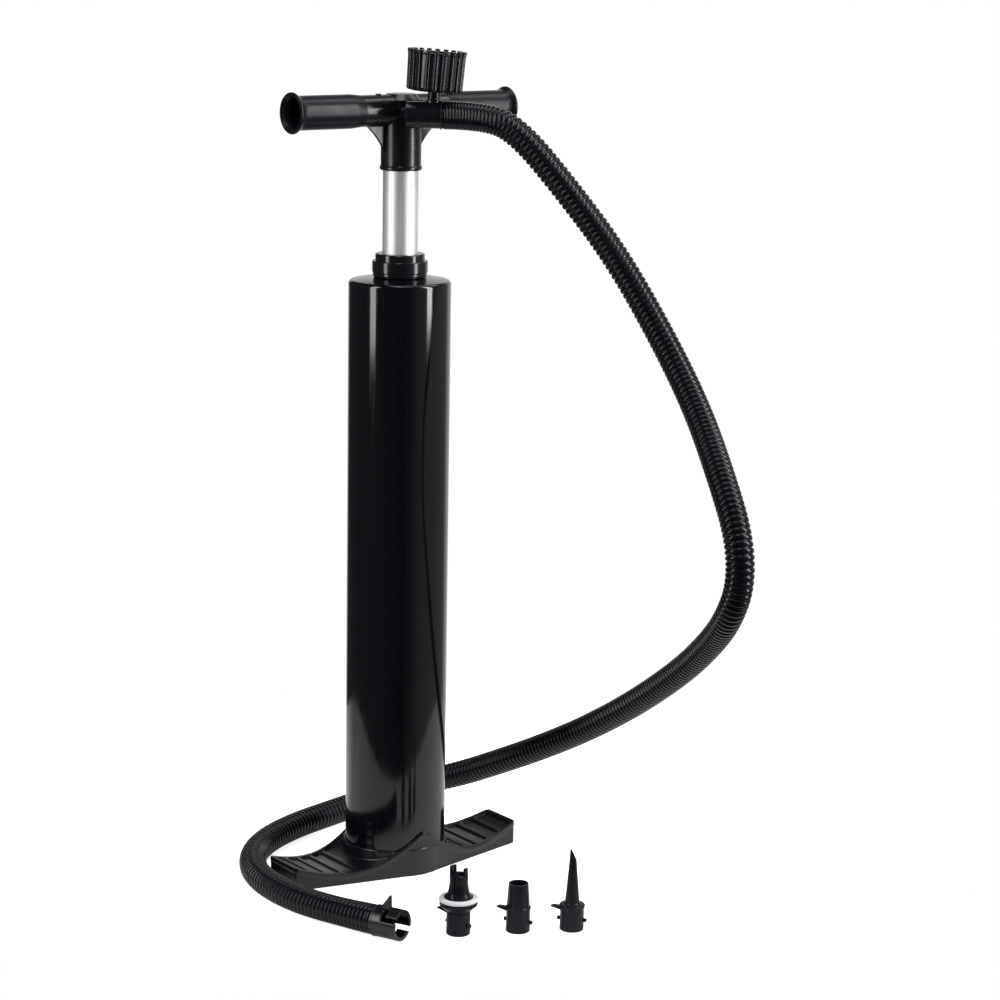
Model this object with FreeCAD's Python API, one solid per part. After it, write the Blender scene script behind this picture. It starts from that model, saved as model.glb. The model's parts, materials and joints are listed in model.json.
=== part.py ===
import FreeCAD, Part
import math
import os

# Hand-operated double-action air pump: a barrel on a foot stand, a T-handle on a
# hollow rod, a pressure gauge, a corrugated hose and three nozzle adaptors.
# Millimetres. Origin: on the barrel's axis at the floor, +Z up, X along the handle.

V = FreeCAD.Vector
Z = V(0, 0, 1)

# Driving dimensions
BARREL_R = 45.0
BARREL_WALL = 3.0
BARREL_FOOT_Z = 6.0
SHOULDER_Z = 529.3
NECK_Z = 535.0
CEILING_Z = 514.0
ROD_R = 15.5
ROD_WALL = 2.5
FIT = 0.05
COLLAR_TOP_Z = 556.0
BUSH_TOP_Z = 547.0
SOCKET_R = 17.6
SOCKET_Z = 628.5
HANDLE_Z = 680.0
ARM_R = 13.5
GRIP_IN_X = 44.0
GRIP_OUT_X = 113.0
GRIP_R = 14.6
FLANGE_R = 17.6
GRIP_BORE_R = 11.7
FOOT_HALF_LENGTH = 121.0
FOOT_HALF_WIDTH = 22.0
BASE_BULGE_R = 47.5
SKIN = 2.5
RIM = 4.2
RIM_PROUD = 2.2
LIP = 1.1
TREAD_RIBS = (59.0, 73.7, 88.4, 103.1)
PISTON_Z = 98.0
HOSE_R = 12.25
HOSE_BORE_R = 9.5
SPIGOT_R = 10.25
OUTLET_R = 11.5

# The hose's route, end to end, as it lies: from the outlet, down in front, behind
# the barrel along the floor, and round to the front on the other side.
ROUTE = [
    V(12, -44, 678), V(45, -67, 678), V(70, -80, 662), V(99, -105, 618),
    V(136, -131, 560), V(154, -174, 494), V(153, -226, 437), V(127, -290, 390),
    V(116, -326, 349), V(115, -331, 310), V(118, -314, 278), V(139, -271, 246),
    V(160, -210, 204), V(173, -130, 153), V(175, -62, 113), V(170, 2, 79),
    V(161, 57, 52), V(151, 110, 27), V(120, 138, 16), V(79, 141, 12.5),
    V(40, 124, 12.5), V(0, 114, 12.5), V(-44, 102, 12.5), V(-88, 81, 12.5),
    V(-123, 49, 12.5), V(-145, 5, 12.5), V(-150, -48, 12.5), V(-141, -101.5, 13.0),
    V(-121, -151, 13.7),
]
OUTLET_DIR = (ROUTE[1] - ROUTE[0]).normalize()
END_DIR = (ROUTE[-1] - ROUTE[-2]).normalize()
OUTLET_LENGTH = 31.0
CUFF_LENGTH = 1.6
GAUGE_SETBACK = 8.4

FITTING_R = 13.3
FITTING_LENGTH = 25.5
SOCKET_DEPTH = 22.5
SLOT_DEPTH = 15.2
SLOT_WIDTH = 4.8
SLOT_ARC = 48.0
SLOT_ANGLE = 30.0

# The bayonet end that the three adaptors share; angles are about its own axis
SPIGOT_HEIGHT = 19.5
PIN_Z = 9.0
PIN_R = 1.7
PIN_REACH = 12.8
PIN_ANGLE = -60.0
TAB_ANGLE = 143.0

# Where the three loose adaptors stand, and how far each is turned
VALVE_ADAPTOR_AT = V(-61, -185, 0)
VALVE_ADAPTOR_TURN = -13.0
STRAIGHT_ADAPTOR_AT = V(-15, -208, 0)
STRAIGHT_ADAPTOR_TURN = 0.0
POINTED_ADAPTOR_AT = V(25.5, -230.5, 0)
POINTED_ADAPTOR_TURN = 8.0

# Gauge, measured up its own leaning axis
GAUGE_FOOT = ROUTE[0] - OUTLET_DIR * GAUGE_SETBACK
GAUGE_LEAN = 4.0
GAUGE_LOW = 20.0
GAUGE_TOP = 55.0
GAUGE_RIBS = 20
GAUGE_RIB_R = 2.1
CUP_R = 22.6
CASE_BORE_R = 21.0


def cylinder(r, start, end):
    """Solid cylinder between two points."""
    return Part.makeCylinder(r, (end - start).Length, start, end - start)


def tube(r_out, r_in, start, end):
    """Straight hollow cylinder between two points."""
    reach = (end - start).normalize()
    return cylinder(r_out, start, end).cut(cylinder(r_in, start - reach, end + reach))


def upright(r_out, r_in, z0, z1):
    """Ring or tube on the barrel's axis."""
    return tube(r_out, r_in, V(0, 0, z0), V(0, 0, z1))


def turned(points):
    """Solid of revolution about Z from (radius, height) points."""
    wire = Part.makePolygon([V(r, 0, z) for r, z in points + points[:1]])
    return Part.Face(wire).revolve(V(0, 0, 0), Z, 360)


def block(x0, x1, y0, y1, z0, z1):
    return Part.makeBox(x1 - x0, y1 - y0, z1 - z0, V(x0, y0, z0))


def prism_y(outline, half_width):
    """Closed wire in the XZ plane, pushed out both ways along Y."""
    face = Part.Face(outline)
    face.translate(V(0, -half_width, 0))
    return face.extrude(V(0, 2 * half_width, 0))


def around(shape, count):
    """Copies of a shape spaced evenly round the Z axis."""
    copies = []
    for i in range(count):
        copy = shape.copy()
        copy.rotate(V(0, 0, 0), Z, 360.0 * i / count)
        copies.append(copy)
    return copies


def fuse_all(shapes):
    return shapes[0].multiFuse(shapes[1:]).removeSplitter()


# ---------------------------------------------------------------- stand

def boat_outline(inset):
    """Plan of the stand: straight sides that run from the tips to a round middle."""
    tip = V(FOOT_HALF_LENGTH, FOOT_HALF_WIDTH, 0)
    angle = math.atan2(tip.y, tip.x) + math.acos(BASE_BULGE_R / tip.Length)
    outward = V(math.cos(angle), math.sin(angle), 0)
    along = V(math.sin(angle), -math.cos(angle), 0)
    bulge = BASE_BULGE_R - inset
    touch = outward * bulge
    corner = touch + along * ((FOOT_HALF_LENGTH - inset - touch.x) / along.x)

    def flip(p, sx, sy):
        return V(p.x * sx, p.y * sy, 0)

    edges = []
    for s in (1, -1):
        edges += [
            Part.LineSegment(flip(corner, s, -s), flip(corner, s, s)),
            Part.LineSegment(flip(corner, s, s), flip(touch, s, s)),
            Part.Arc(flip(touch, s, s), V(0, bulge * s, 0), flip(touch, -s, s)),
            Part.LineSegment(flip(touch, -s, s), flip(corner, -s, s)),
        ]
    return Part.Wire([edge.toShape() for edge in edges])


def boat(inset, z0, z1):
    face = Part.Face(boat_outline(inset))
    face.translate(V(0, 0, z0))
    return face.extrude(V(0, 0, z1 - z0))


def rim_profile(drop, z_floor):
    """Side view of the rim: high beside the barrel, dipping, and rising to the tips."""
    heights = [(127, 24), (107, 17.2), (90, 13), (70, 11), (50, 13.5), (35, 18.8), (20, 27),
               (8, 35.5), (0, 39.5)]
    right = [V(x, 0, z - drop) for x, z in heights]
    left = [V(-p.x, 0, p.z) for p in reversed(right[:-1])]
    curve = Part.BSplineCurve()
    curve.interpolate(right + left)
    low_left = V(left[-1].x, 0, z_floor)
    low_right = V(right[0].x, 0, z_floor)
    return Part.Wire([
        curve.toShape(),
        Part.LineSegment(left[-1], low_left).toShape(),
        Part.LineSegment(low_left, low_right).toShape(),
        Part.LineSegment(low_right, right[0]).toShape(),
    ])


def under_rim(drop, z_floor=-5):
    """Everything below the rim line, lowered by drop."""
    return prism_y(rim_profile(drop, z_floor), 60)


def base():
    """Moulded stand: skirt, raised rim, ribbed treads and the barrel's socket."""
    block_out = boat(0, 0, 46)
    corners = [e for e in block_out.Edges
               if abs(e.CenterOfMass.x) > FOOT_HALF_LENGTH - 1 and abs(e.tangentAt(0).z) > 0.9]
    shell = block_out.makeFillet(5, corners).common(under_rim(0))
    around_skirt = block(-130, 130, -60, 60, -1, 60).cut(boat(LIP, -1, 60))
    shell = shell.cut(around_skirt.common(under_rim(RIM)))
    hollow_top = boat(RIM, 4, 60).cut(under_rim(RIM_PROUD))
    hollow_under = boat(SKIN + LIP, -1, 60).common(under_rim(RIM_PROUD + SKIN))
    body = shell.cut(hollow_top).cut(hollow_under)
    socket = upright(BASE_BULGE_R - 0.5, BARREL_R, 0, 24)
    floor = upright(BARREL_R, 30, BARREL_FOOT_Z - 3, BARREL_FOOT_Z)
    post = cylinder(9, V(0, 0, 0), V(0, 0, BARREL_FOOT_Z))
    spokes = around(block(8, 31, -2, 2, 0, BARREL_FOOT_Z), 6)
    treads = []
    slab = boat(RIM - 1, 0, 60).common(under_rim(RIM_PROUD - 1.5)).cut(under_rim(RIM_PROUD + 1))
    webs = []
    for side in (-1, 1):
        for x in TREAD_RIBS:
            treads.append(slab.common(block(side * x - 2.3, side * x + 2.3, -50, 50, 0, 60)))
        for x in (66, 92):
            web = block(side * x - 1.2, side * x + 1.2, -50, 50, 0, 60)
            webs.append(web.common(boat(SKIN, 0, 60)).common(under_rim(RIM_PROUD + 1)))
        long_web = block(min(side * 46, side * 120), max(side * 46, side * 120), -1.2, 1.2, 0, 60)
        webs.append(long_web.common(boat(SKIN, 0, 60)).common(under_rim(RIM_PROUD + 1)))
    body = fuse_all([body, socket, floor, post] + spokes + treads + webs)
    body = body.cut(cylinder(BARREL_R, V(0, 0, BARREL_FOOT_Z), V(0, 0, 60)))
    return body.cut(Part.Compound(base_screws()))


def base_screw(angle):
    """One of the four screws that hold the bottom cap through the socket's floor."""
    at = V(37.5 * math.cos(angle), 37.5 * math.sin(angle), 0)
    head = cylinder(3.2, at + Z * (BARREL_FOOT_Z - 5), at + Z * (BARREL_FOOT_Z - 3))
    return head.fuse(cylinder(1.5, at + Z * (BARREL_FOOT_Z - 4), at + Z * 16))


def base_screws():
    return [base_screw(math.radians(45 + 90 * i)) for i in range(4)]


# ---------------------------------------------------------------- barrel

def barrel():
    """Plain tube with a tight corner, a low domed shoulder and an open neck."""
    inner = BARREL_R - BARREL_WALL
    corner = 3.7
    start = V(BARREL_R, 0, SHOULDER_Z)
    bend = V(BARREL_R - corner * 0.29, 0, SHOULDER_Z + corner * 0.71)
    corner_top = V(BARREL_R - corner, 0, SHOULDER_Z + corner)
    neck_edge = V(22.5, 0, NECK_Z)
    dome = Part.Arc(corner_top, V(32.5, 0, NECK_Z - 0.7), neck_edge)
    corners = [neck_edge, V(21.5, 0, NECK_Z), V(21.5, 0, CEILING_Z), V(inner, 0, CEILING_Z),
               V(inner, 0, BARREL_FOOT_Z), V(BARREL_R, 0, BARREL_FOOT_Z), start]
    edges = [Part.Arc(start, bend, corner_top).toShape(), dome.toShape()]
    edges += [Part.LineSegment(a, b).toShape() for a, b in zip(corners, corners[1:])]
    return Part.Face(Part.Wire(edges)).revolve(V(0, 0, 0), Z, 360)


def bottom_cap():
    """Plug that closes the barrel's foot and carries the intake valve."""
    r = BARREL_R - BARREL_WALL
    plug = turned([(0, 8), (34, 8), (34, BARREL_FOOT_Z), (r, BARREL_FOOT_Z), (r, 11),
                   (r - 2.4, 11), (r - 2.4, 13.6), (r, 13.6), (r, 18), (0, 18)])
    ports = around(cylinder(3, V(11, 0, 0), V(11, 0, 30)), 6)
    stem_hole = cylinder(2.5, V(0, 0, 0), V(0, 0, 30))
    return plug.cut(fuse_all(ports + [stem_hole])).cut(Part.Compound(base_screws()))


def bottom_cap_seal():
    ring = Part.makeTorus(BARREL_R - BARREL_WALL - 1.15, 1.15)
    ring.translate(V(0, 0, 12.3))
    return ring


def intake_valve():
    """Rubber umbrella over the intake ports, held by its own stem."""
    return turned([(0, 7), (3.6, 7), (3.6, 8), (2.5, 8), (2.5, 18), (16, 18), (16, 19.2),
                   (4, 20.5), (0, 20.5)])


# ---------------------------------------------------------------- gland

def collar():
    """Two-tier gland nut with a rounded foot, on the barrel's neck."""
    z = NECK_Z
    tier = COLLAR_TOP_Z - 6.3
    return turned([(19, 520), (21.5, 520), (21.5, z), (22.5, z), (23.3, z + 0.9), (23.8, z + 2.6),
                   (23.8, z + 4.4), (24.4, z + 5.0), (24.4, tier - 0.5), (23.9, tier), (21.7, tier),
                   (21.7, COLLAR_TOP_Z - 0.9), (20.8, COLLAR_TOP_Z), (16, COLLAR_TOP_Z),
                   (16, COLLAR_TOP_Z - 1.5), (19, COLLAR_TOP_Z - 1.5)])


def rod_bush():
    return upright(19, ROD_R + FIT, 520, BUSH_TOP_Z)


def rod_seal():
    """Lip seal above the bush."""
    z = BUSH_TOP_Z
    top = COLLAR_TOP_Z - 1.5
    return turned([(ROD_R + FIT, z), (19, z), (19, top), (17, top), (16.8, z + 4),
                   (ROD_R + FIT, z + 3)])


def valve_retainer():
    """Snap ring that keeps the top intake valve under the gland."""
    return upright(21.5, 18, CEILING_Z + 0.8, CEILING_Z + 2.2)


def top_intake_valve():
    """Loose ring that lifts to shut the gland's air grooves."""
    return upright(20.9, 16.1, CEILING_Z + 2.3, CEILING_Z + 3.9)


# ---------------------------------------------------------------- plunger

def piston_rod():
    top = HANDLE_Z - 8
    shaft = upright(ROD_R, ROD_R - ROD_WALL, PISTON_Z + 12, top)
    port = cylinder(3, V(-30, 0, PISTON_Z + 34), V(30, 0, PISTON_Z + 34))
    return shaft.cut(port)


def piston_lower():
    """Lower piston plate with the neck that carries the seal."""
    z = PISTON_Z
    hollow = ROD_R - ROD_WALL
    plate = turned([(0, z), (39.5, z), (40.5, z + 1), (40.5, z + 12), (36, z + 12), (36, z + 18),
                    (ROD_R, z + 18), (ROD_R, z + 12), (hollow, z + 12), (hollow, z + 24), (0, z + 24)])
    ports = around(cylinder(2, V(6.5, 0, z - 1), V(6.5, 0, z + 30)), 6)
    return plate.cut(fuse_all(ports + [cylinder(1.5, V(0, 0, z - 1), V(0, 0, z + 30))]))


def piston_upper():
    z = PISTON_Z + 18
    return turned([(ROD_R, z), (40.5, z), (40.5, z + 9), (39.5, z + 10), (ROD_R, z + 10)])


def piston_seal():
    """Ring that runs in the barrel's bore."""
    z = PISTON_Z + 12
    run = BARREL_R - BARREL_WALL - FIT
    return turned([(36, z), (40.8, z), (run, z + 1.5), (run, z + 4.5), (40.8, z + 6), (36, z + 6)])


def piston_flap():
    """Rubber flap that lets air from below the piston into the rod."""
    z = PISTON_Z
    return turned([(0, z + 8), (1.5, z + 8), (1.5, z + 24), (10, z + 24), (10, z + 25), (0, z + 26.5)])


def rod_sleeve_valve():
    """Rubber sleeve inside the rod that covers the port above the piston."""
    hollow = ROD_R - ROD_WALL
    return upright(hollow, hollow - 1.2, PISTON_Z + 28, PISTON_Z + 42)


# ---------------------------------------------------------------- handle

def gusset(side):
    """Thin web under one arm, with a hollowed edge."""
    top = V(side * 38, 0, HANDLE_Z - ARM_R + 2)
    low = V(side * (SOCKET_R - 1), 0, 642)
    hollow = V(side * 25.2, 0, 656.5)
    inner = V(side * (SOCKET_R - 1), 0, HANDLE_Z - ARM_R + 2)
    wire = Part.Wire([
        Part.Arc(top, hollow, low).toShape(),
        Part.LineSegment(low, inner).toShape(),
        Part.LineSegment(inner, top).toShape(),
    ])
    return prism_y(wire, 1.3)


def outlet_spigot(r):
    """Cross bore from the hub to the outlet."""
    return cylinder(r, V(-3, -12, ROUTE[0].z), V(-3, -30, ROUTE[0].z))


def handle():
    """Hub, rod socket, two arms with spigots for the grips, and the webs."""
    hub = turned([(0, SOCKET_Z), (SOCKET_R, SOCKET_Z), (SOCKET_R + 0.8, SOCKET_Z + 1),
                  (SOCKET_R + 0.8, SOCKET_Z + 3), (SOCKET_R, SOCKET_Z + 4), (SOCKET_R, 689),
                  (SOCKET_R - 5, 694), (0, 694)])
    arms = cylinder(ARM_R, V(-GRIP_IN_X, 0, HANDLE_Z), V(GRIP_IN_X, 0, HANDLE_Z))
    spigots = cylinder(GRIP_BORE_R, V(-60, 0, HANDLE_Z), V(60, 0, HANDLE_Z))
    bump = cylinder(2.4, V(-24, 0, HANDLE_Z + 10), V(-24, 0, HANDLE_Z + ARM_R + 0.9))
    solid = fuse_all([hub, arms, spigots, bump, gusset(-1), gusset(1)])
    rod_hole = cylinder(ROD_R, V(0, 0, SOCKET_Z - 5), V(0, 0, HANDLE_Z - 8))
    gallery = cylinder(8, V(0, 0, HANDLE_Z - 12), V(0, 0, HANDLE_Z + 6))
    grub = cylinder(2, V(0, 10, 645), V(0, 30, 645))
    return solid.cut(fuse_all([rod_hole, gallery])).cut(outlet_spigot(6)).cut(grub)


def grub_screw():
    """Set screw at the back of the socket that locks the rod."""
    return cylinder(2, V(0, ROD_R, 645), V(0, SOCKET_R - 0.4, 645))


def grip(side):
    """Hollow sleeve, tapered at its inner end, with a trumpet-shaped flange outside."""
    out = GRIP_OUT_X
    points = [(GRIP_BORE_R, GRIP_IN_X), (ARM_R + 0.15, GRIP_IN_X), (GRIP_R, GRIP_IN_X + 9),
              (GRIP_R, out - 8), (GRIP_R + 0.5, out - 5.6), (FLANGE_R - 0.6, out - 3.0),
              (FLANGE_R, out - 2.0), (FLANGE_R, out - 0.9), (FLANGE_R - 0.7, out),
              (FLANGE_R - 1.7, out), (GRIP_BORE_R + 1.4, out - 2.8), (GRIP_BORE_R, out - 6)]
    sleeve = turned(points)
    sleeve.rotate(V(0, 0, 0), V(0, 1, 0), 90 * side)
    sleeve.translate(V(0, 0, HANDLE_Z))
    return sleeve


# ---------------------------------------------------------------- outlet and gauge

def outlet_body():
    """Tee beside the hub: closed at one end, hose at the other, gauge on top."""
    start = ROUTE[0] - OUTLET_DIR * OUTLET_LENGTH
    end = ROUTE[0] - OUTLET_DIR * CUFF_LENGTH
    body = cylinder(OUTLET_R, start, end)
    neck = cylinder(8, V(-3, -10, ROUTE[0].z), V(-3, -30, ROUTE[0].z))
    passage = cylinder(7, start + OUTLET_DIR * 3, end)
    hub = cylinder(SOCKET_R, V(0, 0, SOCKET_Z), V(0, 0, 700))
    arm = cylinder(ARM_R, V(-60, 0, HANDLE_Z), V(60, 0, HANDLE_Z))
    gauge_port = cylinder(2.5, GAUGE_FOOT, GAUGE_FOOT + Z * 20)
    solid = body.fuse(neck).cut(fuse_all([hub, arm]))
    return solid.fuse(outlet_spigot(6)).cut(outlet_spigot(4)).cut(passage).cut(gauge_port)


def hose_cuff():
    """Collar that clamps the hose's end against the outlet."""
    start = ROUTE[0] - OUTLET_DIR * CUFF_LENGTH
    return tube(HOSE_R, 7, start, ROUTE[0])


def lean(shape):
    """Tips a gauge piece, made upright on its foot, towards the hose."""
    shape.translate(GAUGE_FOOT)
    shape.rotate(GAUGE_FOOT, V(-OUTLET_DIR.y, OUTLET_DIR.x, 0), GAUGE_LEAN)
    return shape


def gauge_stem():
    """Threaded stub with a nut at its foot and a ring under the gauge."""
    stem = turned([(1.2, 9), (5.9, 9), (5.9, 12.8), (5.2, 13.4), (5.2, 15.2), (5.7, 15.6), (5.7, 17.2),
                   (5.2, 17.6), (5.2, GAUGE_LOW + 3), (1.2, GAUGE_LOW + 3)])
    pipe = cylinder(OUTLET_R, ROUTE[0] - OUTLET_DIR * OUTLET_LENGTH, ROUTE[0])
    return lean(stem).cut(pipe)


def gauge_case():
    """Cup that holds the dial, with round ribs that flare and stand above its rim."""
    z0, z1 = GAUGE_LOW, GAUGE_TOP
    rim = z1 - 1.8
    cup = turned([(5.2, z0), (19.5, z0), (21.6, z0 + 1.2), (CUP_R - 0.4, z0 + 3.5), (CUP_R + 0.5, rim - 2),
                  (CUP_R + 0.9, rim - 0.4), (CUP_R + 0.5, rim), (CASE_BORE_R, rim),
                  (CASE_BORE_R, z0 + 4), (5.2, z0 + 4)])
    foot = V(CUP_R - 0.7, 0, z0 + GAUGE_RIB_R + 0.4)
    knee = V(CUP_R, 0, z1 - 5)
    tip = V(CUP_R + 0.9, 0, z1 + 1)
    rib = fuse_all([Part.makeSphere(GAUGE_RIB_R, foot), cylinder(GAUGE_RIB_R, foot, knee),
                    Part.makeSphere(GAUGE_RIB_R, knee), cylinder(GAUGE_RIB_R, knee, tip)])
    bore = cylinder(CASE_BORE_R, V(0, 0, z0 + 3), V(0, 0, z1 + 9))
    over = cylinder(40, V(0, 0, z1), V(0, 0, z1 + 9))
    ribs = [r.cut(bore).cut(over) for r in around(rib, GAUGE_RIBS)]
    return lean(fuse_all([cup] + ribs))


def gauge_movement():
    """Pressure capsule under the dial with the needle's spindle."""
    z = GAUGE_LOW + 4
    return lean(turned([(0, z), (9, z), (9, z + 6), (13, z + 7), (13, z + 17), (2.5, z + 20),
                        (0.8, z + 20), (0.8, z + 24), (0, z + 24)]))


def gauge_dial():
    z = GAUGE_LOW + 24
    disc = turned([(2, z), (CASE_BORE_R, z), (CASE_BORE_R, z + 0.8), (2, z + 0.8)])
    ledge = turned([(20, z - 19.9), (CASE_BORE_R, z - 19.9), (CASE_BORE_R, z), (20, z)])
    return lean(disc.fuse(ledge))


def gauge_needle():
    """Pointer on the spindle, at the zero end of its scale."""
    z = GAUGE_LOW + 25.8
    hub = turned([(0.85, z), (2.6, z), (2.6, z + 1.6), (0.85, z + 1.6)])
    blade = Part.makePolygon([V(1.5, -1.0, 0), V(17, -0.25, 0), V(17, 0.25, 0), V(1.5, 1.0, 0),
                              V(1.5, -1.0, 0)])
    pointer = Part.Face(blade).extrude(V(0, 0, 0.8))
    tail = block(-6, -1.5, -1.2, 1.2, 0, 0.8)
    for piece in (pointer, tail):
        piece.translate(V(0, 0, z + 0.2))
    needle = hub.fuse(pointer).fuse(tail).cut(cylinder(0.85, V(0, 0, z - 1), V(0, 0, z + 3)))
    needle.rotate(V(0, 0, 0), Z, -135)
    return lean(needle)


def gauge_lens():
    z = GAUGE_LOW + 30
    return lean(turned([(0, z), (CASE_BORE_R, z), (CASE_BORE_R, z + 1.5), (0, z + 1.5)]))


def gauge_bezel():
    z = GAUGE_LOW + 31.5
    return lean(turned([(19.2, z), (CASE_BORE_R, z), (CASE_BORE_R, z + 1.7), (20.0, z + 1.7)]))


# ---------------------------------------------------------------- hose

def rounded_path(points):
    """Straight runs joined by tangent arcs, each as large as its runs allow."""
    edges = []
    radii = []
    here = points[0]
    for before, corner, after in zip(points, points[1:], points[2:]):
        back = before - corner
        ahead = after - corner
        half_turn = (math.pi - back.getAngle(ahead)) / 2
        reach = 0.45 * min(back.Length, ahead.Length)
        radii.append(reach / math.tan(half_turn))
        first = corner + back.normalize() * reach
        last = corner + ahead.normalize() * reach
        bisector = (back + ahead).normalize()
        gap = radii[-1] * (1 / math.cos(half_turn) - 1)
        edges.append(Part.LineSegment(here, first).toShape())
        edges.append(Part.Arc(first, corner + bisector * gap, last).toShape())
        here = last
    edges.append(Part.LineSegment(here, points[-1]).toShape())
    return Part.Wire(edges), radii


def swept(path, r):
    circle = Part.Wire(Part.makeCircle(r, ROUTE[0], OUTLET_DIR))
    return path.makePipeShell([circle], True, False)


def hose_tube():
    """Corrugated hose as a plain hollow tube along its route."""
    path, radii = rounded_path(ROUTE)
    hose = swept(path, HOSE_R).cut(swept(path, HOSE_BORE_R))
    expected = math.pi * (HOSE_R ** 2 - HOSE_BORE_R ** 2) * path.Length
    print("hose length", round(path.Length, 1), "volume over expected",
          round(hose.Volume / expected, 4))
    print("hose radii", [round(r) for r in radii])
    return hose


def bayonet_slot(turn):
    """J-shaped slot, drawn with the mouth at z = 0 and the fitting above it."""
    lead_in = block(7, 16, -2.2, 2.2, -1, SLOT_DEPTH)
    bend = Part.makeCylinder(16, SLOT_WIDTH, V(0, 0, SLOT_DEPTH - SLOT_WIDTH), Z, SLOT_ARC)
    bend = bend.cut(cylinder(7, V(0, 0, 0), V(0, 0, 30)))
    slot = lead_in.fuse(bend)
    slot.rotate(V(0, 0, 0), Z, SLOT_ANGLE + turn)
    return slot


def hose_end_fitting():
    """Bayonet socket on the hose's end, with two slots and a thumb fin."""
    start = ROUTE[-1]
    mouth = start + END_DIR * FITTING_LENGTH
    near_side = V(END_DIR.y, -END_DIR.x, 0)
    sleeve = tube(FITTING_R, 8, start, mouth)
    band = tube(FITTING_R + 0.3, FITTING_R - 1, start, start + END_DIR * 1.6)
    socket = cylinder(SPIGOT_R + 0.2, mouth - END_DIR * SOCKET_DEPTH, mouth + END_DIR)
    to_mouth = FreeCAD.Placement(mouth, FreeCAD.Rotation(near_side, Z, END_DIR * -1, "ZXY"))
    slots = []
    for turn in (0, 180):
        slot = bayonet_slot(turn)
        slot.Placement = to_mouth.multiply(slot.Placement)
        slots.append(slot)
    root = start + END_DIR * 3.5 + Z * (FITTING_R - 1.5)
    tip = root + END_DIR * 9.5 + Z * 12.5
    fin_face = Part.Face(Part.makePolygon([root, root + END_DIR * 11, tip + END_DIR, tip, root]))
    fin_face.translate(near_side * -1.1)
    fin = fin_face.extrude(near_side * 2.2)
    return fuse_all([sleeve, band, fin]).cut(fuse_all([socket] + slots))


# ---------------------------------------------------------------- adaptors

def bayonet_spigot():
    """Hollow spigot with two locking pins, standing on its open end."""
    body = turned([(8.4, 0), (SPIGOT_R - 0.6, 0), (SPIGOT_R, 0.6), (SPIGOT_R, SPIGOT_HEIGHT),
                   (8.4, SPIGOT_HEIGHT)])
    pins = cylinder(PIN_R, V(-PIN_REACH, 0, PIN_Z), V(PIN_REACH, 0, PIN_Z))
    pins.rotate(V(0, 0, 0), Z, PIN_ANGLE)
    bore = cylinder(8.4, V(0, 0, 0), V(0, 0, SPIGOT_HEIGHT))
    return body.fuse(pins.cut(bore))


def thumb_tab():
    """Sloping wedge that sticks out to one side above the spigot's pins."""
    z = SPIGOT_HEIGHT - 2
    wire = Part.makePolygon([V(9, 0, z), V(18.6, 0, z + 4), V(15.5, 0, z + 5), V(9, 0, z + 4), V(9, 0, z)])
    wedge = Part.Face(wire).extrude(V(0, 4, 0))
    wedge.translate(V(0, -2, 0))
    wedge.rotate(V(0, 0, 0), Z, TAB_ANGLE)
    return wedge


def stood(solid, place, turn):
    """An adaptor made on the Z axis, turned and stood in its place."""
    solid.rotate(V(0, 0, 0), Z, turn)
    solid.translate(place)
    return solid


def finger(r_in, r_out, z0, z1, angle, spread):
    """Upright piece of tube wall, spread degrees wide."""
    wall = Part.makeCylinder(r_out, z1 - z0, V(0, 0, z0), Z, spread)
    wall.rotate(V(0, 0, 0), Z, angle - spread / 2)
    return wall.cut(cylinder(r_in, V(0, 0, z0 - 1), V(0, 0, z1 + 1)))


def valve_adaptor():
    """Boat-valve adaptor: flange, flared skirt and a cup with three prongs."""
    z = SPIGOT_HEIGHT
    upper = turned([(8.4, z), (9.7, z), (9.7, z + 1.2), (10.8, z + 1.6), (15.6, z + 6), (16.4, z + 6.8),
                    (16.4, z + 10), (12.5, z + 10), (12.5, z + 13.6), (10.8, z + 14), (9.4, z + 17),
                    (8.5, z + 21), (8, z + 25), (8, z + 33), (5.8, z + 33), (5.8, z + 24), (7, z + 15)])
    prongs = [finger(5.8, 8, z + 30, z + 39.5, 117, 60),
              finger(5.8, 8, z + 30, z + 39.5, 303, 34),
              finger(5.8, 8, z + 30, z + 37.5, 238, 22)]
    solid = fuse_all([bayonet_spigot(), upper, thumb_tab()] + prongs)
    bore = cylinder(5.8, V(0, 0, -1), V(0, 0, 30))
    slit = block(3, 14, -0.6, 0.6, z + 18, z + 34)
    slit.rotate(V(0, 0, 0), Z, 222)
    return stood(solid.cut(bore).cut(slit), VALVE_ADAPTOR_AT, VALVE_ADAPTOR_TURN)


def valve_adaptor_gasket():
    """Soft sealing washer on the valve adaptor's flange."""
    z = SPIGOT_HEIGHT + 10
    washer = turned([(12.5, z), (16.2, z), (16.9, z + 1), (16.9, z + 2), (16.2, z + 3), (12.5, z + 3)])
    return stood(washer, VALVE_ADAPTOR_AT, VALVE_ADAPTOR_TURN)


def straight_adaptor():
    """Plain tapered tube for large valves."""
    z = SPIGOT_HEIGHT
    upper = turned([(7.6, z), (SPIGOT_R, z), (SPIGOT_R, z + 0.4), (10.9, z + 0.7), (10.9, z + 2),
                    (10.2, z + 2.8), (9.9, z + 3), (8.5, z + 23), (7.2, z + 23), (7.6, z + 3)])
    solid = fuse_all([bayonet_spigot(), upper, thumb_tab()])
    return stood(solid, STRAIGHT_ADAPTOR_AT, STRAIGHT_ADAPTOR_TURN)


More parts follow.
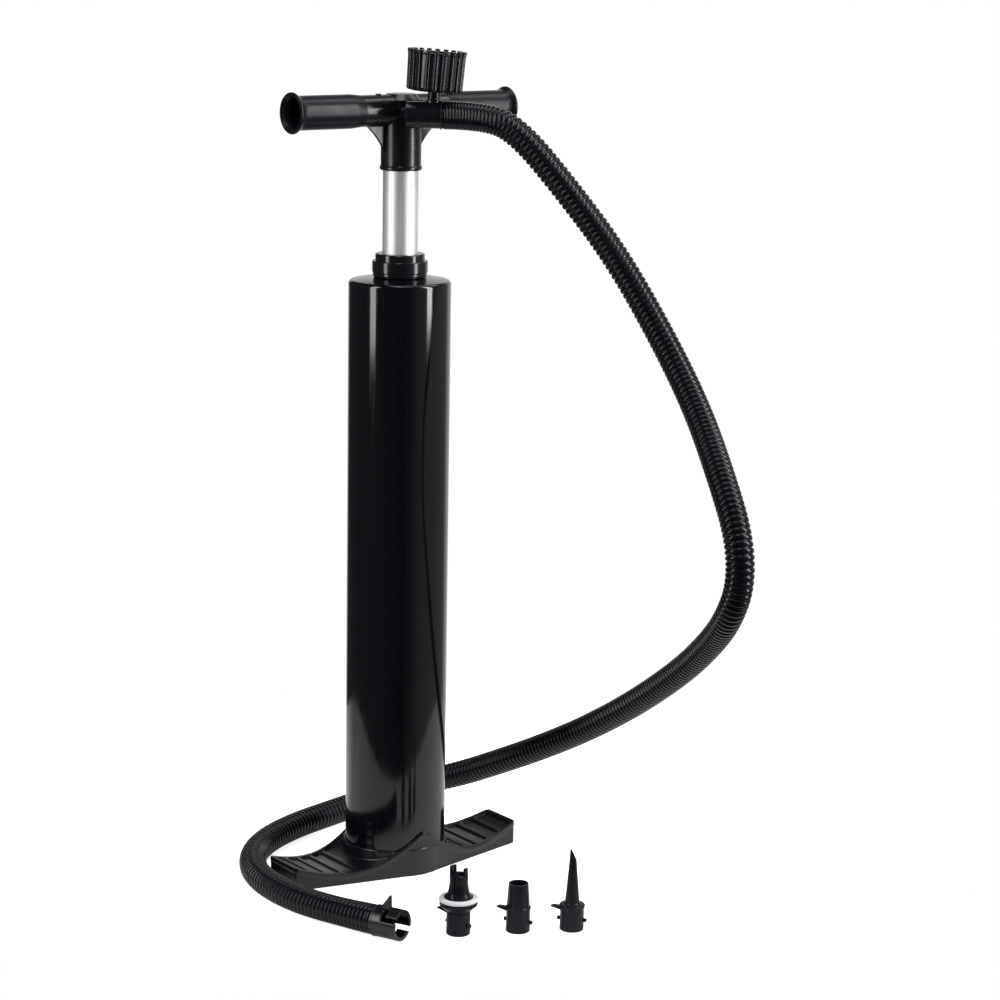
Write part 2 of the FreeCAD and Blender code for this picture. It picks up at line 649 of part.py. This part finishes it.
def pointed_adaptor():
    """Slender cone with a slanting tip for small valves."""
    z = SPIGOT_HEIGHT
    top = z + 51.2
    upper = turned([(6, z), (10.4, z), (11, z + 0.7), (11, z + 2.5), (10.2, z + 3.3), (7.4, z + 3.7),
                    (6.3, z + 5), (5.2, z + 17), (3.3, z + 39), (2.5, top), (1.2, top),
                    (1.6, z + 39), (4.0, z + 5)])
    solid = fuse_all([bayonet_spigot(), upper, thumb_tab()])
    slant = block(-10, 10, -10, 10, 0, 24)
    slant.rotate(V(0, 0, 0), V(0.6, 0.8, 0), 66)
    slant.translate(V(0.9, -0.7, top - 5))
    return stood(solid.cut(slant), POINTED_ADAPTOR_AT, POINTED_ADAPTOR_TURN)


PARTS = {
    "base": base(),
    "base_screws": Part.Compound(base_screws()),
    "barrel": barrel(),
    "bottom_cap": bottom_cap(),
    "bottom_cap_seal": bottom_cap_seal(),
    "intake_valve": intake_valve(),
    "collar": collar(),
    "rod_bush": rod_bush(),
    "rod_seal": rod_seal(),
    "valve_retainer": valve_retainer(),
    "top_intake_valve": top_intake_valve(),
    "piston_rod": piston_rod(),
    "piston_lower": piston_lower(),
    "piston_upper": piston_upper(),
    "piston_seal": piston_seal(),
    "piston_flap": piston_flap(),
    "rod_sleeve_valve": rod_sleeve_valve(),
    "handle": handle(),
    "grub_screw": grub_screw(),
    "grip_left": grip(-1),
    "grip_right": grip(1),
    "outlet_body": outlet_body(),
    "hose_cuff": hose_cuff(),
    "gauge_stem": gauge_stem(),
    "gauge_case": gauge_case(),
    "gauge_movement": gauge_movement(),
    "gauge_dial": gauge_dial(),
    "gauge_needle": gauge_needle(),
    "gauge_lens": gauge_lens(),
    "gauge_bezel": gauge_bezel(),
    "hose_tube": hose_tube(),
    "hose_end_fitting": hose_end_fitting(),
    "valve_adaptor": valve_adaptor(),
    "valve_adaptor_gasket": valve_adaptor_gasket(),
    "straight_adaptor": straight_adaptor(),
    "pointed_adaptor": pointed_adaptor(),
}

os.makedirs("parts", exist_ok=True)
for name, shape in PARTS.items():
    shape.exportStep("parts/" + name + ".step")
    print(name, "solids", len(shape.Solids), "valid", shape.isValid(), "cm3",
          round(shape.Volume / 1000, 2))
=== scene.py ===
import bisect
import json
import math

import bmesh
import bpy
from mathutils import Matrix, Vector


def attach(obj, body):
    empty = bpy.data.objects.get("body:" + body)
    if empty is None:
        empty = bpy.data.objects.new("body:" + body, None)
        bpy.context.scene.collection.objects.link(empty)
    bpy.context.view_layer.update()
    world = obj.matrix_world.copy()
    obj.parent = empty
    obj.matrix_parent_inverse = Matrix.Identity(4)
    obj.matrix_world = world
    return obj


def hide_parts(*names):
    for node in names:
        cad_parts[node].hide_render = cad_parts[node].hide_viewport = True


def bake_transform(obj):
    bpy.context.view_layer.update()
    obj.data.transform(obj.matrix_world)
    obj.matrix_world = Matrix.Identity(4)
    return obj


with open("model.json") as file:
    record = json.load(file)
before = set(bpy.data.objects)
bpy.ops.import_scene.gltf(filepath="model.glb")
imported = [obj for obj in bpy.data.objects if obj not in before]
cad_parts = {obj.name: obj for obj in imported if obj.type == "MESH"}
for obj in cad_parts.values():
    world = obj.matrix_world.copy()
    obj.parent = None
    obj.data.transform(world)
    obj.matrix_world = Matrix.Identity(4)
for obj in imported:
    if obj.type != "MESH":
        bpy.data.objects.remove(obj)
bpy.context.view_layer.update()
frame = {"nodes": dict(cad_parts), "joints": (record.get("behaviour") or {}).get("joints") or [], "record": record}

# Hand air pump on a foot stand: materials, the corrugated hose and the finer
# mouldings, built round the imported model. Metres, in the model's own frame.

HOSE_D = 0.0245
HOSE_GROOVE = 0.0012
HOSE_SIDES = 40
HOSE_PITCH = 0.0050
HOSE_PLAIN_START = 0.0015
HOSE_PLAIN_END = 0.0060
HOSE_SWELL = 0.0007
FINER_BY_OUTLET = 0.0024
CLOSER_BY_FITTING = 0.0009

# Where along each pitch the hose's rings stand, and how far up its ridge each one is
RIDGE = [(0.0, 0.0), (0.14, 0.0), (0.24, 0.62), (0.36, 0.90), (0.57, 1.0), (0.78, 0.90), (0.90, 0.62)]

# The hose's route, the same points as the model's own tube
ROUTE_MM = [
    (12, -44, 678), (45, -67, 678), (70, -80, 662), (99, -105, 618),
    (136, -131, 560), (154, -174, 494), (153, -226, 437), (127, -290, 390),
    (116, -326, 349), (115, -331, 310), (118, -314, 278), (139, -271, 246),
    (160, -210, 204), (173, -130, 153), (175, -62, 113), (170, 2, 79),
    (161, 57, 52), (151, 110, 27), (120, 138, 16), (79, 141, 12.5),
    (40, 124, 12.5), (0, 114, 12.5), (-44, 102, 12.5), (-88, 81, 12.5),
    (-123, 49, 12.5), (-145, 5, 12.5), (-150, -48, 12.5), (-141, -101.5, 13.0),
    (-121, -151, 13.7),
]
ROUTE = [Vector(p) / 1000 for p in ROUTE_MM]


# ---------------------------------------------------------------- node helpers

# Sockets of a Mix node, by place, because several share a name
MIX_FLOAT_A, MIX_FLOAT_B, MIX_FLOAT_OUT = 2, 3, 0
MIX_COLOR_A, MIX_COLOR_B, MIX_COLOR_OUT = 6, 7, 2


class Nodes:
    """A small wrapper that makes and links shader nodes."""

    def __init__(self, name):
        self.material = bpy.data.materials.new(name)
        self.material.use_nodes = True
        self.tree = self.material.node_tree
        self.shader = self.tree.nodes["Principled BSDF"]
        self.coords = self.add("ShaderNodeTexCoord").outputs["Object"]

    def add(self, kind, **settings):
        node = self.tree.nodes.new(kind)
        for key, value in settings.items():
            setattr(node, key, value)
        return node

    def link(self, output, target):
        self.tree.links.new(output, target)

    def noise(self, scale, detail=4.0, rough=0.55, stretch=(1, 1, 1)):
        mapping = self.add("ShaderNodeMapping")
        mapping.inputs["Scale"].default_value = stretch
        self.link(self.coords, mapping.inputs["Vector"])
        noise = self.add("ShaderNodeTexNoise")
        noise.inputs["Scale"].default_value = scale
        noise.inputs["Detail"].default_value = detail
        noise.inputs["Roughness"].default_value = rough
        self.link(mapping.outputs["Vector"], noise.inputs["Vector"])
        return noise.outputs["Fac"]

    def ramp(self, value, low, high, out_low, out_high):
        node = self.add("ShaderNodeMapRange")
        node.inputs["From Min"].default_value = low
        node.inputs["From Max"].default_value = high
        node.inputs["To Min"].default_value = out_low
        node.inputs["To Max"].default_value = out_high
        self.link(value, node.inputs["Value"])
        return node.outputs["Result"]

    def blend(self, value, dark, light):
        node = self.add("ShaderNodeMix", data_type="RGBA")
        node.inputs[MIX_COLOR_A].default_value = (*dark, 1)
        node.inputs[MIX_COLOR_B].default_value = (*light, 1)
        self.link(value, node.inputs[0])
        return node.outputs[MIX_COLOR_OUT]

    def bump(self, height, distance, strength, base=None):
        node = self.add("ShaderNodeBump")
        node.inputs["Distance"].default_value = distance
        node.inputs["Strength"].default_value = strength
        self.link(height, node.inputs["Height"])
        if base is not None:
            self.link(base, node.inputs["Normal"])
        return node.outputs["Normal"]

    def rounded(self, radius):
        """Shading normal that softens edges to a small radius, as a mould leaves them."""
        node = self.add("ShaderNodeBevel", samples=6)
        node.inputs["Radius"].default_value = radius
        return node.outputs["Normal"]

    def set(self, **sockets):
        """Constants go straight on the shader; outputs are linked to it."""
        for key, value in sockets.items():
            socket = self.shader.inputs[key.replace("_", " ")]
            if isinstance(value, bpy.types.NodeSocket):
                self.link(value, socket)
            else:
                socket.default_value = value


def moulded(name, dark, light, rough, grain=900, bump=0.00004, spec=0.4, edge=0.0005):
    """Injection-moulded plastic: fine spark-eroded grain and faint flow marks."""
    n = Nodes(name)
    cloud = n.noise(14, 3)
    fine = n.noise(grain, 2, 0.6)
    marks = n.noise(60, 5, 0.6, (1, 1, 0.3))
    n.set(Base_Color=n.blend(n.ramp(cloud, 0.3, 0.7, 0, 1), dark, light),
          Roughness=n.ramp(marks, 0.3, 0.7, rough - 0.06, rough + 0.08),
          Normal=n.bump(fine, bump, 0.5, n.rounded(edge)),
          Specular_IOR_Level=spec)
    return n.material


def glossy_barrel():
    """Polished black tube with faint waviness and dust-fine scratches."""
    n = Nodes("barrel_gloss")
    cloud = n.noise(9, 2)
    wave = n.noise(22, 2, 0.5, (1, 1, 0.2))
    scratches = n.noise(420, 3, 0.7, (1, 1, 0.04))
    waved = n.bump(wave, 0.0006, 0.10)
    n.set(Base_Color=n.blend(cloud, (0.0020, 0.0026, 0.0045), (0.0030, 0.0038, 0.0060)),
          Roughness=n.ramp(scratches, 0.35, 0.75, 0.07, 0.15),
          Normal=n.bump(scratches, 0.00001, 0.2, waved),
          Specular_IOR_Level=0.45)
    return n.material


def drawn_aluminium():
    """Drawn tube: fine lines along its length over a bright satin metal."""
    n = Nodes("drawn_aluminium")
    lines = n.noise(900, 3, 0.7, (1, 1, 0.015))
    smears = n.noise(35, 4, 0.6, (1, 1, 0.4))
    n.set(Base_Color=n.blend(smears, (0.78, 0.79, 0.80), (0.93, 0.93, 0.94)),
          Metallic=0.9,
          Roughness=n.ramp(lines, 0.3, 0.7, 0.42, 0.60),
          Normal=n.bump(lines, 0.00003, 0.5))
    return n.material


def turned_metal(name, dark, light, rough):
    """Bare metal with fine lines running round it."""
    n = Nodes(name)
    lines = n.noise(700, 3, 0.6, (1, 1, 3))
    n.set(Base_Color=n.blend(lines, dark, light),
          Metallic=1.0,
          Roughness=n.ramp(lines, 0.3, 0.7, rough - 0.08, rough + 0.1),
          Normal=n.bump(lines, 0.00002, 0.5))
    return n.material


def soft_rubber(name, dark, light, rough=0.6):
    """Matt rubber with a fine grain and faint clouding."""
    n = Nodes(name)
    cloud = n.noise(30, 3)
    fine = n.noise(1500, 2)
    n.set(Base_Color=n.blend(cloud, dark, light),
          Roughness=n.ramp(cloud, 0.3, 0.7, rough - 0.05, rough + 0.08),
          Normal=n.bump(fine, 0.00005, 0.4),
          Specular_IOR_Level=0.3)
    return n.material


def hose_plastic():
    """Flexible black plastic, semi-gloss, with a little dust on it."""
    n = Nodes("hose_plastic")
    cloud = n.noise(25, 4)
    fine = n.noise(1100, 2)
    dust = n.noise(180, 4, 0.65)
    n.set(Base_Color=n.blend(cloud, (0.0035, 0.0042, 0.0065), (0.0065, 0.0078, 0.0110)),
          Roughness=n.ramp(dust, 0.3, 0.75, 0.13, 0.24),
          Normal=n.bump(fine, 0.00004, 0.35),
          Specular_IOR_Level=0.20)
    return n.material


def lens_glass():
    """Clear lens with faint smears."""
    n = Nodes("lens_glass")
    smears = n.noise(40, 4, 0.6)
    n.set(Base_Color=(0.97, 0.985, 0.99, 1),
          Transmission_Weight=1.0,
          IOR=1.49,
          Roughness=n.ramp(smears, 0.4, 0.8, 0.01, 0.06))
    return n.material


def dial_face():
    """Off-white printed face; its marks are a piece of their own."""
    n = Nodes("dial_face")
    paper = n.noise(300, 3)
    n.set(Base_Color=n.blend(paper, (0.80, 0.80, 0.78), (0.88, 0.88, 0.86)),
          Roughness=n.ramp(paper, 0.3, 0.7, 0.38, 0.5),
          Specular_IOR_Level=0.4)
    return n.material


# Darkest and lightest colour in the black mouldings' faint clouding
BLACK_LOW = (0.0042, 0.0052, 0.0080)
BLACK_HIGH = (0.0080, 0.0095, 0.0130)

# The finish of each material slot in the record
MATERIALS = {
    "satin_black": moulded("satin_black", BLACK_LOW, BLACK_HIGH, 0.26),
    "grip_black": moulded("grip_black", BLACK_LOW, BLACK_HIGH, 0.30, 700, 0.00005, 0.20),
    "gauge_black": moulded("gauge_black", BLACK_LOW, BLACK_HIGH, 0.20, 1000, 0.00003, 0.38),
    "adaptor_grey": moulded("adaptor_grey", (0.006, 0.0075, 0.0105), (0.010, 0.0125, 0.0165),
                            0.28, spec=0.15),
    "gloss_black": glossy_barrel(),
    "aluminium": drawn_aluminium(),
    "steel": turned_metal("zinc_steel", (0.45, 0.46, 0.47), (0.65, 0.65, 0.66), 0.35),
    "brass": turned_metal("turned_brass", (0.62, 0.45, 0.18), (0.80, 0.62, 0.28), 0.28),
    "rubber": soft_rubber("seal_rubber", (0.010, 0.010, 0.011), (0.018, 0.018, 0.019)),
    "gasket_grey": soft_rubber("gasket_grey", (0.74, 0.75, 0.77), (0.84, 0.85, 0.87), 0.55),
    "bush": moulded("acetal_bush", (0.70, 0.69, 0.64), (0.78, 0.77, 0.73), 0.4),
    "dial": dial_face(),
    "needle_red": moulded("needle_red", (0.55, 0.02, 0.015), (0.65, 0.035, 0.02), 0.35),
    "clear": lens_glass(),
    "hose_black": hose_plastic(),
}

# Nodes that are glossier than the rest of their slot
FINISH_OF = {"collar": moulded("collar_black", BLACK_LOW, BLACK_HIGH, 0.14, bump=0.00001)}
SLOT_OF = {s["node"]: s["material_slot"] for s in frame["record"]["subparts"]}

for node_name, node_object in frame["nodes"].items():
    material = FINISH_OF.get(node_name, MATERIALS[SLOT_OF[node_name]])
    if not node_object.material_slots:
        node_object.data.materials.append(material)
    for material_slot in node_object.material_slots:
        material_slot.link = "OBJECT"
        material_slot.material = material


def add_mesh(name, bm, slot):
    """A new piece from a bmesh, with its slot's material."""
    mesh = bpy.data.meshes.new(name)
    bm.to_mesh(mesh)
    bm.free()
    obj = bpy.data.objects.new(name, mesh)
    bpy.context.scene.collection.objects.link(obj)
    mesh.materials.append(MATERIALS[slot])
    return obj


# ---------------------------------------------------------------- hose

def route_curve():
    """The route as one smooth NURBS line."""
    data = bpy.data.curves.new("hose_route", "CURVE")
    data.dimensions = "3D"
    data.resolution_u = 24
    spline = data.splines.new("NURBS")
    spline.points.add(len(ROUTE) - 1)
    for point, place in zip(spline.points, ROUTE):
        point.co = (*place, 1)
    spline.order_u = 3
    spline.use_endpoint_u = True
    return bpy.data.objects.new("hose_route", data)


def line_points(curve_object):
    """Points along a curve with no bevel, in order."""
    mesh = bpy.data.meshes.new_from_object(curve_object)
    points = [v.co.copy() for v in mesh.vertices]
    bpy.data.meshes.remove(mesh)
    return points


class Line:
    """A line of points that can be read at any distance along it."""

    def __init__(self, points):
        self.points = points
        self.along = [0.0]
        for a, b in zip(points, points[1:]):
            self.along.append(self.along[-1] + (b - a).length)
        self.length = self.along[-1]

    def at(self, distance):
        i = bisect.bisect_right(self.along, distance)
        i = max(1, min(i, len(self.points) - 1))
        a, b = self.along[i - 1], self.along[i]
        share = 0.0 if b == a else (distance - a) / (b - a)
        return self.points[i - 1].lerp(self.points[i], share)


def smooth_step(x, low, high):
    """0 at low, 1 at high and eased between; the other way round when low is the larger."""
    t = max(0.0, min(1.0, (x - low) / (high - low)))
    return t * t * (3 - 2 * t)


def ridge_pitch(start, end):
    """Ridges are fine by the outlet, a little closer by the fitting, and even between."""
    finer = FINER_BY_OUTLET * (1 - smooth_step(start, 0.018, 0.070))
    closer = CLOSER_BY_FITTING * (1 - smooth_step(end, 0.030, 0.140))
    return HOSE_PITCH - max(finer, closer)


def hose_rings(length):
    """(distance along, radius) of each ring of the hose's skin.

    The grooves deepen over the first few centimetres, and the hose swells into the fitting."""
    rings = [(0.0, HOSE_D / 2 - HOSE_GROOVE)]
    start = HOSE_PLAIN_START
    while length - start > HOSE_PLAIN_END:
        pitch = ridge_pitch(start, length - start)
        depth = HOSE_GROOVE * (0.40 + 0.60 * smooth_step(start, 0.015, 0.070))
        swell = HOSE_SWELL * smooth_step(length - start, 0.045, 0.005)
        for phase, height in RIDGE:
            radius = HOSE_D / 2 + swell - depth * (1 - height)
            rings.append((start + phase * pitch, radius))
        start += pitch
    rings.append((start, rings[-1][1]))
    rings.append((length, rings[-1][1]))
    return rings


def frames_along(points):
    """A twist-free pair of cross directions at each point."""
    up = Vector((0, 0, 1))
    result = []
    side = None
    for i in range(len(points)):
        ahead = points[min(i + 1, len(points) - 1)] - points[max(i - 1, 0)]
        ahead.normalize()
        if side is None:
            side = ahead.cross(up).normalized()
        side = (side - ahead * side.dot(ahead)).normalized()
        result.append((side, ahead.cross(side).normalized()))
    return result


def corrugated_hose():
    """Mesh tube with rounded ridges, plain at both ends."""
    path = line_points(route_curve())
    line = Line(path)
    rings = hose_rings(line.length)
    points = [line.at(distance) for distance, _ in rings]
    crosses = frames_along(points)
    bm = bmesh.new()
    loops = []
    for centre, (side, over), (_, radius) in zip(points, crosses, rings):
        loop = []
        for k in range(HOSE_SIDES):
            angle = 2 * math.pi * k / HOSE_SIDES
            loop.append(bm.verts.new(centre + (side * math.cos(angle)
                                               + over * math.sin(angle)) * radius))
        loops.append(loop)
    for a, b in zip(loops, loops[1:]):
        for k in range(HOSE_SIDES):
            j = (k + 1) % HOSE_SIDES
            bm.faces.new((a[k], a[j], b[j], b[k]))
    bm.faces.new(list(reversed(loops[0])))
    bm.faces.new(loops[-1])
    bm.normal_update()
    for face in bm.faces:
        face.smooth = True
    return add_mesh("hose", bm, "hose_black"), path


hose, hose_path = corrugated_hose()
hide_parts("hose_tube")
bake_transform(hose)


# ---------------------------------------------------------------- mouldings

def remoulded(node_name, body, voxel, rounds, keep):
    """Copy of a CAD node with its edges rounded over, as a mould leaves them."""
    bm = bmesh.new()
    bm.from_mesh(frame["nodes"][node_name].data)
    bmesh.ops.remove_doubles(bm, verts=bm.verts, dist=2e-6)
    rough = bpy.data.meshes.new(node_name + "_rough")
    bm.to_mesh(rough)
    bm.free()
    maker = bpy.data.objects.new(node_name + "_maker", rough)
    bpy.context.scene.collection.objects.link(maker)
    remesh = maker.modifiers.new("remesh", "REMESH")
    remesh.mode = "VOXEL"
    remesh.voxel_size = voxel
    smooth = maker.modifiers.new("smooth", "SMOOTH")
    smooth.iterations = rounds
    smooth.factor = 0.5
    thin = maker.modifiers.new("thin", "DECIMATE")
    thin.ratio = keep
    graph = bpy.context.evaluated_depsgraph_get()
    mesh = bpy.data.meshes.new_from_object(maker.evaluated_get(graph))
    bpy.data.objects.remove(maker)
    mesh.name = node_name + "_moulding"
    mesh.materials.clear()
    mesh.materials.append(MATERIALS[SLOT_OF[node_name]])
    for polygon in mesh.polygons:
        polygon.use_smooth = True
    obj = bpy.data.objects.new(node_name + "_moulding", mesh)
    bpy.context.scene.collection.objects.link(obj)
    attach(obj, body)
    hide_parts(node_name)


remoulded("base", "stand", voxel=0.00065, rounds=6, keep=0.25)


# ---------------------------------------------------------------- dial marks

DIAL_SWEEP = 270
DIAL_START = 225
DIAL_STEPS = 30
DIAL_LONG_EVERY = 5
DIAL_LABEL_EVERY = 10
DIAL_STEPS_PER_UNIT = 2
DIAL_BELOW_HINGE = 0.00095
MARK_OUTER_R = 0.0178
MARK_HEIGHT = 0.0001
LONG_MARK = {"inner_r": 0.0140, "half_width": 0.00028}
SHORT_MARK = {"inner_r": 0.0158, "half_width": 0.00014}
LABEL_R = 0.0115
LABEL_SIZE = 0.0042


def dial_frame():
    """Place of the dial's face, with its axis along Z and its zero mark to the front left."""
    hinge = next(j for j in frame["joints"] if j["name"] == "needle_turn")
    up = -Vector(hinge["axis"]).normalized()
    across = Vector((1, 0, 0))
    across = (across - up * across.dot(up)).normalized()
    turn = Matrix((across, up.cross(across), up)).transposed().to_4x4()
    return Matrix.Translation(Vector(hinge["pos_m"]) - up * DIAL_BELOW_HINGE) @ turn


def dial_angle(step):
    """Angle of a step on the dial's scale, which runs clockwise."""
    return math.radians(DIAL_START - DIAL_SWEEP * step / DIAL_STEPS)


def dial_marks():
    """Raised graduation marks round the dial, with plain numbers at every other long one."""
    bm = bmesh.new()
    for step in range(DIAL_STEPS + 1):
        mark = LONG_MARK if step % DIAL_LONG_EVERY == 0 else SHORT_MARK
        length = MARK_OUTER_R - mark["inner_r"]
        turn = Matrix.Rotation(dial_angle(step), 4, "Z")
        size = Matrix.Diagonal((length, 2 * mark["half_width"], MARK_HEIGHT, 1))
        place = turn @ Matrix.Translation((MARK_OUTER_R - length / 2, 0, 0)) @ size
        bmesh.ops.create_cube(bm, size=1, matrix=place)
    for step in range(0, DIAL_STEPS + 1, DIAL_LABEL_EVERY):
        angle = dial_angle(step)
        spot = Vector((math.cos(angle), math.sin(angle), 0)) * LABEL_R
        add_number(bm, str(step // DIAL_STEPS_PER_UNIT), spot)
    bm.transform(dial_frame())
    marks = add_mesh("dial_marks", bm, "satin_black")
    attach(marks, "plunger")


def add_number(bm, text, spot):
    """A number in the plain built-in font, laid flat and centred at a spot."""
    curve = bpy.data.curves.new("number", "FONT")
    curve.body = text
    curve.size = LABEL_SIZE
    curve.extrude = MARK_HEIGHT / 2
    curve.align_x = "CENTER"
    curve.align_y = "CENTER"
    maker = bpy.data.objects.new("number", curve)
    mesh = bpy.data.meshes.new_from_object(maker)
    mesh.transform(Matrix.Translation(spot))
    bm.from_mesh(mesh)
    bpy.data.objects.remove(maker)
    bpy.data.meshes.remove(mesh)


dial_marks()


# ---------------------------------------------------------------- stage

CAMERA_PLACE = Vector((-1.379, -2.009, 0.8456))
CAMERA_AZIMUTH = -36.60
CAMERA_ELEVATION = 11.79
CAMERA_ROLL = 0.95
CAMERA_LENS = 100.8

# The oval floor: its half sizes across the view and along it, and how far back it sits
FLOOR_HALF_WIDTH = 0.56
FLOOR_HALF_DEPTH = 0.42
FLOOR_BACK = 0.09
FLOOR_BELOW = 0.0002

# What the floor gives off: what the camera sees, and what lights the object, from its
# middle out to where it fades away (shares of its half size)
FLOOR_SEEN = 0.86
FLOOR_GLOW = 0.27
GLOW_FULL_TO = 0.45
GLOW_GONE_BY = 0.90

# Lit parts of the studio: degrees right of the camera, cosines where each one starts
# and is full, and its brightness
LOBES = [(169, 0.70, 0.95, 0.8), (88, 0.2, 1.0, 0.30), (-75, 0.0, 1.0, 0.08)]

# The faint light from everywhere else
ALL_ROUND = 0.02


def round_from_camera(degrees, distance, z):
    """A place round the object, so many degrees to the right of the camera."""
    towards = Vector((CAMERA_PLACE.x, CAMERA_PLACE.y, 0)).normalized()
    right = Vector((-towards.y, towards.x, 0))
    angle = math.radians(degrees)
    place = (towards * math.cos(angle) + right * math.sin(angle)) * distance
    return Vector((place.x, place.y, z))


def softbox(name, place, aim, width, height, radiance):
    """Rectangular light of a given brightness, aimed at a point."""
    data = bpy.data.lights.new(name, "AREA")
    data.shape = "RECTANGLE"
    data.size = width
    data.size_y = height
    data.energy = radiance * math.pi * width * height
    lamp = bpy.data.objects.new(name, data)
    lamp.location = place
    lamp.rotation_euler = (Vector(aim) - Vector(place)).to_track_quat("-Z", "Y").to_euler()
    bpy.context.scene.collection.objects.link(lamp)


def pale_floor():
    """An oval white table top; only the middle of it throws much light on the object."""
    bm = bmesh.new()
    bmesh.ops.create_circle(bm, cap_ends=True, segments=128, radius=1)
    mesh = bpy.data.meshes.new("floor")
    bm.to_mesh(mesh)
    bm.free()
    floor = bpy.data.objects.new("floor", mesh)
    away = round_from_camera(180, FLOOR_BACK, -FLOOR_BELOW)
    floor.location = away
    floor.rotation_euler.z = math.atan2(-away.x, away.y)
    floor.scale = (FLOOR_HALF_WIDTH, FLOOR_HALF_DEPTH, 1)
    bpy.context.scene.collection.objects.link(floor)
    n = Nodes("pale_floor")
    distance = n.add("ShaderNodeVectorMath", operation="LENGTH")
    n.link(n.coords, distance.inputs[0])
    glow = n.ramp(distance.outputs["Value"], GLOW_FULL_TO, GLOW_GONE_BY, FLOOR_GLOW, 0.0)
    seen = n.add("ShaderNodeMix")
    seen.inputs[MIX_FLOAT_B].default_value = FLOOR_SEEN
    n.link(glow, seen.inputs[MIX_FLOAT_A])
    n.link(n.add("ShaderNodeLightPath").outputs["Is Camera Ray"], seen.inputs[0])
    n.set(Base_Color=(0.9, 0.9, 0.9, 1), Roughness=0.9, Specular_IOR_Level=0.1,
          Emission_Color=(1, 1, 1, 1), Emission_Strength=seen.outputs[MIX_FLOAT_OUT])
    mesh.materials.append(n.material)


def pale_world():
    """White all round to look at; it lights the object mostly from behind and the right."""
    world = bpy.data.worlds.new("studio")
    world.use_nodes = True
    tree = world.node_tree
    direction = tree.nodes.new("ShaderNodeTexCoord").outputs["Generated"]
    strength = None
    for degrees, low, high, level in LOBES:
        dot = tree.nodes.new("ShaderNodeVectorMath")
        dot.operation = "DOT_PRODUCT"
        dot.inputs[1].default_value = round_from_camera(degrees, 1.0, 0.0)
        tree.links.new(direction, dot.inputs[0])
        lobe = tree.nodes.new("ShaderNodeMapRange")
        lobe.interpolation_type = "SMOOTHSTEP"
        lobe.inputs["From Min"].default_value = low
        lobe.inputs["From Max"].default_value = high
        lobe.inputs["To Max"].default_value = level
        tree.links.new(dot.outputs["Value"], lobe.inputs["Value"])
        total = tree.nodes.new("ShaderNodeMath")
        total.operation = "ADD"
        total.inputs[1].default_value = ALL_ROUND
        tree.links.new(lobe.outputs["Result"], total.inputs[0])
        if strength is not None:
            tree.links.new(strength, total.inputs[1])
        strength = total.outputs["Value"]
    seen = tree.nodes.new("ShaderNodeMix")
    seen.inputs[MIX_FLOAT_B].default_value = 1.0
    tree.links.new(strength, seen.inputs[MIX_FLOAT_A])
    tree.links.new(tree.nodes.new("ShaderNodeLightPath").outputs["Is Camera Ray"], seen.inputs[0])
    background = tree.nodes["Background"]
    background.inputs["Color"].default_value = (1, 1, 1, 1)
    tree.links.new(seen.outputs[MIX_FLOAT_OUT], background.inputs["Strength"])
    bpy.context.scene.world = world


def camera():
    """Camera at the viewing angle: in front, to the left and a little above."""
    back_az = math.radians(CAMERA_AZIMUTH)
    back_el = math.radians(CAMERA_ELEVATION)
    roll = math.radians(CAMERA_ROLL)
    back = Vector((math.sin(back_az) * math.cos(back_el),
                   -math.cos(back_az) * math.cos(back_el), math.sin(back_el)))
    right = Vector((math.cos(back_az), math.sin(back_az), 0))
    up = back.cross(right)
    rolled_right = right * math.cos(roll) + up * math.sin(roll)
    rolled_up = up * math.cos(roll) - right * math.sin(roll)
    data = bpy.data.cameras.new("camera")
    data.sensor_width = 36
    data.lens = CAMERA_LENS
    data.clip_end = 50
    obj = bpy.data.objects.new("camera", data)
    turn = Matrix((rolled_right, rolled_up, back)).transposed()
    obj.matrix_world = Matrix.Translation(CAMERA_PLACE) @ turn.to_4x4()
    bpy.context.scene.collection.objects.link(obj)
    bpy.context.scene.camera = obj


def studio_lights():
    """A tall strip on each side, a bank overhead, and a bank high on the right."""
    strip_distance = 1.3
    barrel_top = (0, 0, 0.6)
    left = round_from_camera(-61, strip_distance, 0.97)
    right = round_from_camera(70, strip_distance, 0.98)
    softbox("left_strip", left, barrel_top, 0.36, 1.5, 8.0)
    softbox("right_strip", right, barrel_top, 0.32, 1.45, 15.0)
    softbox("top_bank", (0.0, -0.1, 2.1), (0, -0.05, 0), 0.8, 0.8, 4.0)
    softbox("side_bank", (1.05, -0.1, 2.1), (0, 0, 0.68), 0.7, 1.0, 3.0)


pale_floor()
pale_world()
camera()
studio_lights()
bpy.context.scene.view_settings.view_transform = "Standard"
